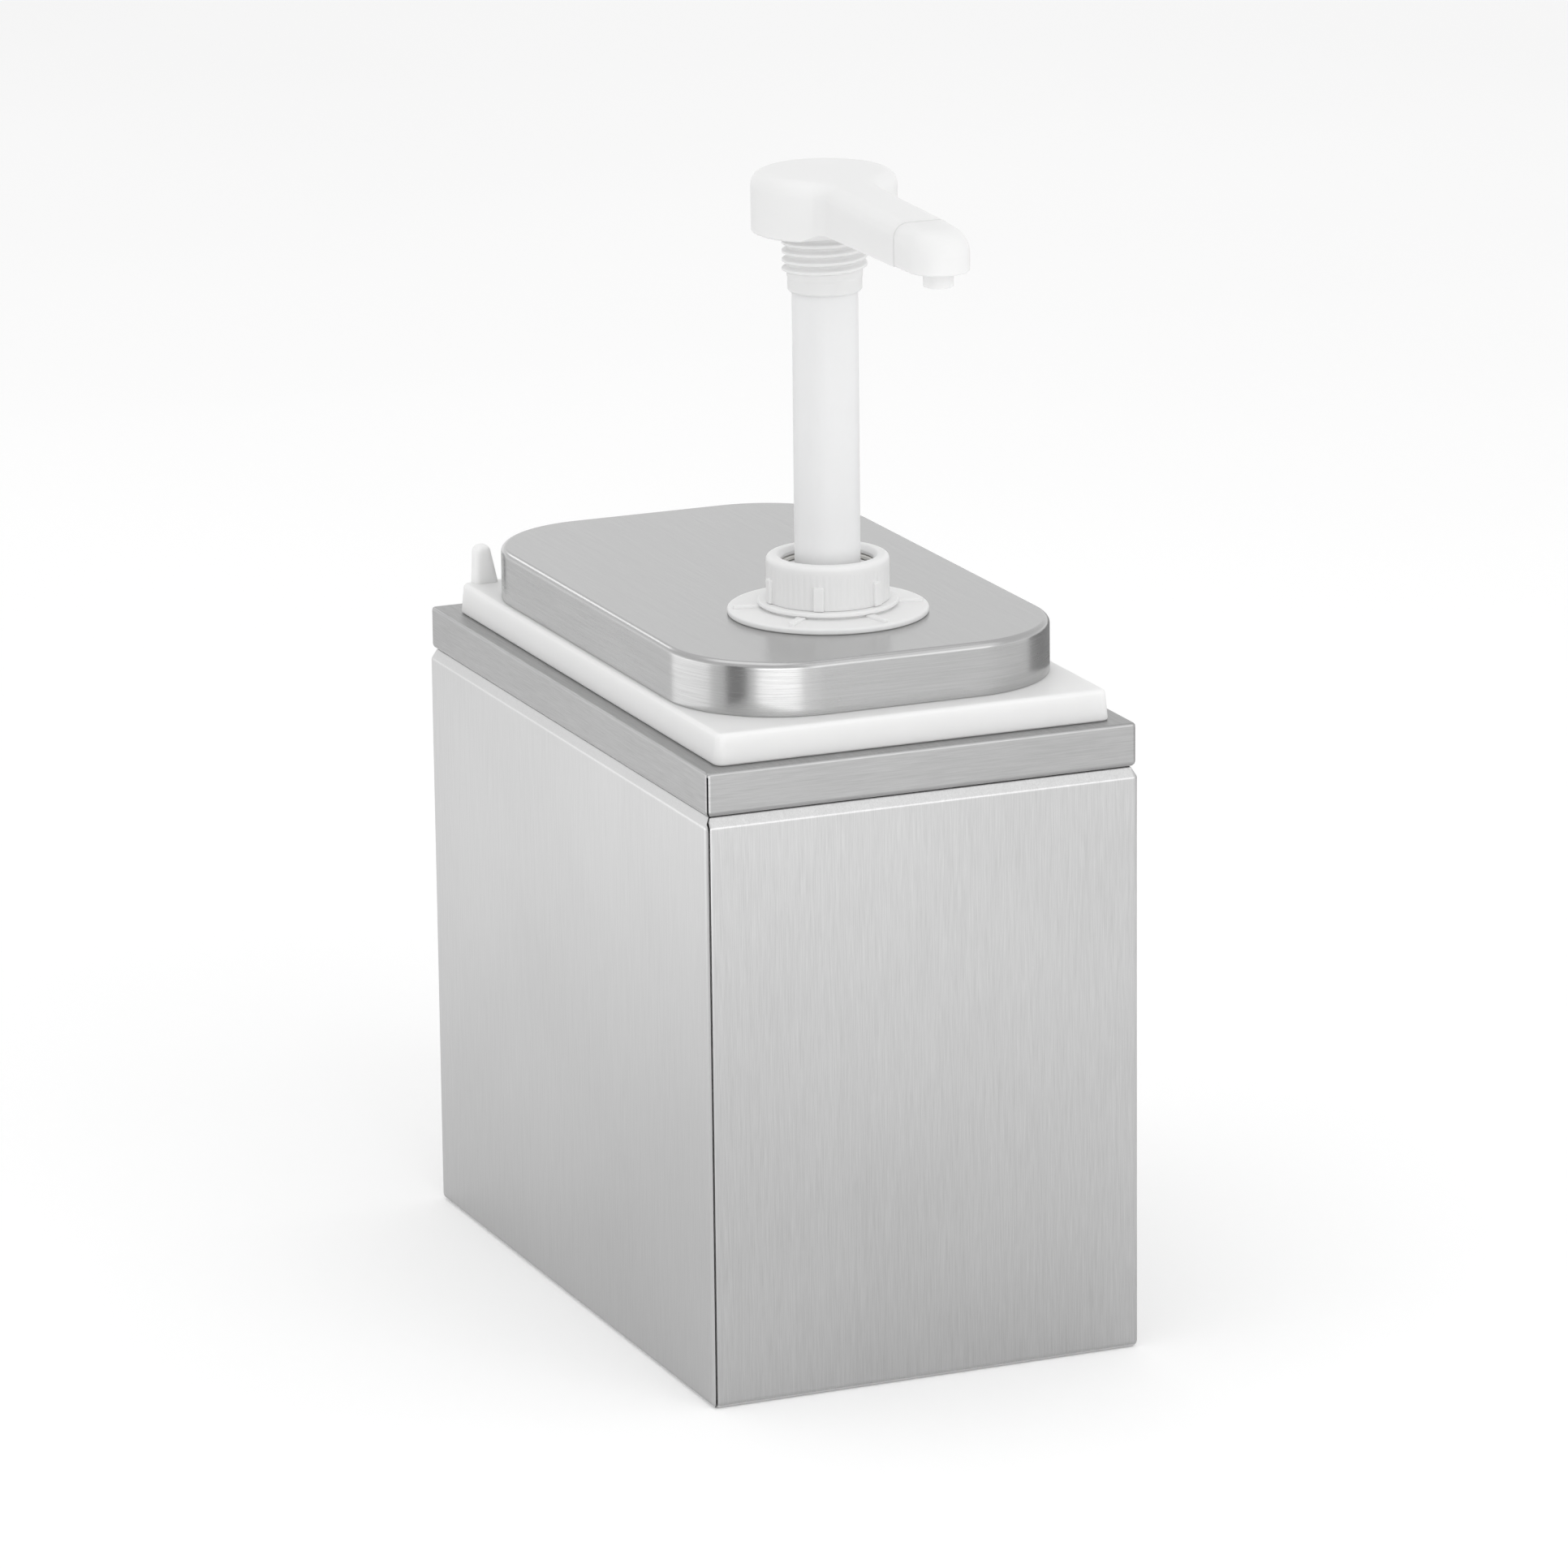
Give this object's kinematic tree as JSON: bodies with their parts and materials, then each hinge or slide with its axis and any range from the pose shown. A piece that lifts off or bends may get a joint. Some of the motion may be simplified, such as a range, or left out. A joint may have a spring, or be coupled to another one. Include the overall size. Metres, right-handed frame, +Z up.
{
  "type": "condiment pump dispenser",
  "caption": "Countertop condiment dispenser: open-topped steel box holding a lift-out plastic container, closed by a steel lid with a long-stroke hand pump and side spout.",
  "frame": {"origin": "centre of the housing's footprint, on the underside of its base plate", "axes": "+Z up, -Y towards the front where the spout points, +X to the right when seen from the front"},
  "size_m": [0.132, 0.2363, 0.3373],
  "materials": {
    "steel": "brushed stainless sheet, grain vertical on the housing and along the long way on frame and lid",
    "container_plastic": "satin white polyethylene, slightly translucent",
    "pump_plastic": "satin white polypropylene moulding",
    "tube_plastic": "semi-gloss natural white extruded tube",
    "seal_rubber": "matte food-grade seal",
    "spring_steel": "drawn and polished stainless"
  },
  "bodies": {
    "housing": {"front_right_shell": "steel", "rear_left_shell": "steel", "base_plate": "steel", "top_frame": "steel"},
    "container": {"container": "container_plastic"},
    "lid_assembly": {"lid": "steel", "pump_flange": "pump_plastic", "flange_gasket": "seal_rubber", "lock_nut": "pump_plastic", "pump_barrel": "tube_plastic", "stem_guide": "pump_plastic", "inlet_ball_cage": "pump_plastic", "dip_tube": "tube_plastic", "return_spring": "spring_steel"},
    "cap_seal": {"cap_seal": "seal_rubber"},
    "screw_cap": {"screw_cap": "pump_plastic"},
    "spring_follower": {"spring_seat": "pump_plastic"},
    "plunger": {"stem_tube": "tube_plastic", "pump_head": "pump_plastic", "piston": "pump_plastic", "piston_seal": "seal_rubber", "outlet_ball_cage": "pump_plastic"},
    "spout_tip": {"spout_tip": "pump_plastic"},
    "inlet_ball": {"inlet_ball": "spring_steel"},
    "outlet_ball": {"outlet_ball": "spring_steel"}
  },
  "joints": [
    {"name": "container_lift", "type": "slide", "parent": "housing", "child": "container", "axis": [0, 0, 1], "range_m": [0, 0.2]},
    {"name": "lid_lift", "type": "slide", "parent": "container", "child": "lid_assembly", "axis": [0, 0, 1], "range_m": [0, 0.2]},
    {"name": "cap_rise", "type": "slide", "parent": "lid_assembly", "child": "cap_seal", "axis": [0, 0, 1], "range_m": [0, 0.0072]},
    {"name": "cap_unscrew", "type": "hinge", "parent": "cap_seal", "child": "screw_cap", "pos_m": [0, -0.0406, 0.22], "axis": [0, 0, 1], "range_deg": [0, 720]},
    {"name": "plunger_press", "type": "slide", "parent": "lid_assembly", "child": "spring_follower", "axis": [0, 0, -1], "range_m": [0, 0.083], "stiffness_N_per_m": 150, "springref_m": -0.03, "deforming": ["return_spring"]},
    {"name": "head_swivel", "type": "hinge", "parent": "spring_follower", "child": "plunger", "pos_m": [0, -0.0406, 0.3], "axis": [0, 0, 1], "continuous": true},
    {"name": "tip_pull", "type": "slide", "parent": "plunger", "child": "spout_tip", "axis": [0, -1, 0], "range_m": [0, 0.025]},
    {"name": "inlet_ball_lift", "type": "slide", "parent": "lid_assembly", "child": "inlet_ball", "axis": [0, 0, 1], "range_m": [0, 0.003]},
    {"name": "outlet_ball_lift", "type": "slide", "parent": "plunger", "child": "outlet_ball", "axis": [0, 0, 1], "range_m": [0, 0.003]}
  ],
  "couplings": [
    {"joint": "cap_rise", "follows": "cap_unscrew", "m_per_rad": 0.00055704}
  ]
}
